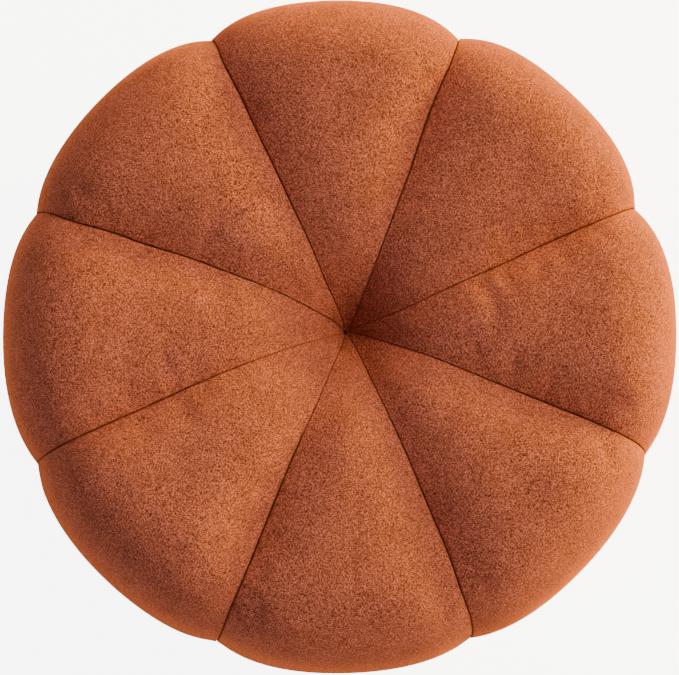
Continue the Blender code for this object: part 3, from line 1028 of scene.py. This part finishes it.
class POUF_OT_tuft(bpy.types.Operator):
    """Twisted twine that draws the gores' points down to the dowel under the board"""

    bl_idname = "pouf.tuft"
    bl_label = "Tuft twine"

    def execute(self, context):
        low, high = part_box("tuft_cord")
        centre = Vector(context.scene.pouf_form.pinch)
        top, bottom = high[2] - 0.0160, low[2] + 0.0024
        bm = bmesh.new()
        for strand in range(2):
            self.strand(bm, centre, top, bottom, strand * math.pi)
        for height, size in ((top, 0.0021), (bottom, 0.0023)):
            knot = bmesh.ops.create_uvsphere(bm, u_segments=20, v_segments=12, radius=size)
            bmesh.ops.translate(bm, verts=knot["verts"], vec=centre + Vector((0.0, 0.0, height)))
        twine = mesh_of(bm, "tuft_twine")
        set_out("tuft_twine", twine, twine_finish(), ["tuft_cord"])
        return {"FINISHED"}

    @staticmethod
    def strand(bm, centre, top, bottom, phase):
        """One strand of the twist: a small circle carried down a helix."""
        sides, steps, pitch, thick = 8, 140, 0.0075, 0.00062
        circle = bmesh.ops.create_circle(bm, segments=sides, radius=thick, cap_ends=True)
        start = centre + Vector((thick * math.cos(phase), thick * math.sin(phase), top))
        bmesh.ops.translate(bm, verts=circle["verts"], vec=start)
        face = circle["verts"][0].link_faces[0]
        drop = (top - bottom) / steps
        here = Vector(start)
        for step in range(1, steps + 1):
            angle = phase + FULL_TURN * step * drop / pitch
            there = centre + Vector((thick * math.cos(angle), thick * math.sin(angle), 0.0))
            there.z = top - drop * step
            grown = bmesh.ops.extrude_face_region(bm, geom=[face])["geom"]
            if step > 1:
                bmesh.ops.delete(bm, geom=[face], context="FACES_ONLY")
            face = next(item for item in grown if isinstance(item, bmesh.types.BMFace))
            bmesh.ops.translate(bm, verts=list(face.verts), vec=there - here)
            here = there
        bmesh.ops.recalc_face_normals(bm, faces=bm.faces)


class POUF_OT_stage(bpy.types.Operator):
    """Pale floor, soft lamps and the camera over the pouf"""

    bl_idname = "pouf.stage"
    bl_label = "Stage"

    def execute(self, context):
        setting = context.scene.pouf_stage
        self.floor(setting)
        self.room(context, setting)
        key = self.lamp("key_lamp", KEY_SIZE, setting.key_power, KEY_TINT)
        self.aim_lamp(key, setting.key_turn, setting.key_rise, setting.reach)
        side = self.lamp("side_lamp", SIDE_SIZE, setting.side_power, SIDE_TINT)
        self.aim_lamp(side, setting.side_turn, setting.side_rise, setting.reach)
        self.camera(context)
        return {"FINISHED"}

    @staticmethod
    def floor(setting):
        """A pale floor that looks white to the eye without washing light up the cover."""
        bm = bmesh.new()
        bmesh.ops.create_grid(bm, x_segments=1, y_segments=1, size=6.0)
        recipe = Recipe(
            "pale_floor", Roughness=0.9, Emission_Color=WHITE, Emission_Strength=setting.floor
        )
        shade = recipe.noise(0.8, detail=2.0)
        recipe.feed("Base_Color", recipe.blend(shade, (0.90, 0.90, 0.90), (0.93, 0.93, 0.93)))
        seen = recipe.add("ShaderNodeLightPath", output="Is Camera Ray")
        recipe.overlay(
            seen, Base_Color=WHITE, Roughness=0.9, Emission_Color=WHITE,
            Emission_Strength=setting.floor + FLOOR_SHOWN,
        )
        floor = bpy.data.objects.new("floor", mesh_of(bm, "floor"))
        floor.data.materials.append(recipe.material)
        bpy.context.scene.collection.objects.link(floor)

    @staticmethod
    def room(context, setting):
        """Pale walls all round under a dimmer ceiling."""
        world = bpy.data.worlds.new("studio")
        world.use_nodes = True
        tree = world.node_tree
        light = tree.nodes["Background"]
        nodes = Nodes(tree)
        across, along, up = nodes.axes(nodes.add("ShaderNodeTexCoord"))
        toward = across * math.cos(setting.key_turn) + along * math.sin(setting.key_turn)
        above = up.step(0.30, 0.60)
        walls = (toward * 0.34 + 0.66) * setting.wall
        strength = (1.0 - above) * walls + above * setting.ceiling
        shade = nodes.blend(toward.step(-0.2, 0.9), WALL_COOL, WALL_WARM)
        nodes.settle(light, {"Strength": strength, "Color": shade})
        context.scene.world = world

    @staticmethod
    def lamp(name, size, power, tint):
        light = bpy.data.lights.new(name, "AREA")
        light.shape = "RECTANGLE"
        light.size, light.size_y = size
        light.energy = power
        light.color = tint
        lamp = bpy.data.objects.new(name, light)
        bpy.context.scene.collection.objects.link(lamp)
        return lamp

    @staticmethod
    def aim_lamp(lamp, turn, rise, reach):
        """Stands the lamp that far off in that direction, facing the pouf."""
        away = Vector((math.cos(turn), math.sin(turn), 0.0)) * math.cos(rise)
        away.z = math.sin(rise)
        lamp.location = LAMP_AIM + away * reach
        lamp.rotation_euler = away.to_track_quat("Z", "Y").to_euler()

    @staticmethod
    def camera(context):
        """Almost straight above, leaning a little to one side and back."""
        lens = bpy.data.cameras.new("camera")
        lens.lens = LENS
        lens.sensor_width = SENSOR
        lens.dof.use_dof = False
        eye = bpy.data.objects.new("camera", lens)
        back = VIEW_BACK.normalized()
        right = Vector((0.0, 1.0, 0.0)).cross(back).normalized()
        right = Matrix.Rotation(VIEW_ROLL, 3, back) @ right
        up = back.cross(right)
        aim = Vector((0.0, 0.0, VIEW_HEIGHT)) - right * VIEW_SHIFT[0] - up * VIEW_SHIFT[1]
        turn = Matrix((right, up, back)).transposed().to_4x4()
        eye.matrix_world = Matrix.Translation(aim + back * VIEW_REACH) @ turn
        context.scene.collection.objects.link(eye)
        context.scene.camera = eye


class POUF_PT_panel(bpy.types.Panel):
    """Builds the pouf step by step"""

    bl_idname = "POUF_PT_panel"
    bl_label = "Pumpkin pouf"
    bl_space_type = "VIEW_3D"
    bl_region_type = "UI"
    bl_category = "Pouf"

    def draw(self, context):
        for group in (
            context.scene.pouf_form, context.scene.pouf_velvet, context.scene.pouf_stage,
        ):
            box = self.layout.box()
            for label in group.bl_rna.properties.keys():
                if label not in ("rna_type", "name"):
                    box.prop(group, label)
        for step in STEPS:
            self.layout.operator(step.bl_idname)


GROUPS = (PoufForm, PoufVelvet, PoufStage)
STEPS = (
    POUF_OT_stage,
    POUF_OT_cover,
    POUF_OT_foam,
    POUF_OT_drum,
    POUF_OT_underside,
    POUF_OT_screws,
    POUF_OT_tuft,
)


def register():
    for kind in (*GROUPS, *STEPS, POUF_PT_panel):
        bpy.utils.register_class(kind)
    bpy.types.Scene.pouf_form = PointerProperty(type=PoufForm)
    bpy.types.Scene.pouf_velvet = PointerProperty(type=PoufVelvet)
    bpy.types.Scene.pouf_stage = PointerProperty(type=PoufStage)


def unregister():
    del bpy.types.Scene.pouf_stage
    del bpy.types.Scene.pouf_velvet
    del bpy.types.Scene.pouf_form
    for kind in reversed((*GROUPS, *STEPS, POUF_PT_panel)):
        bpy.utils.unregister_class(kind)


def main():
    register()
    for step in STEPS:
        group, name = step.bl_idname.split(".")
        getattr(getattr(bpy.ops, group), name)()
    bpy.context.view_layer.update()


if __name__ == "__main__":
    main()
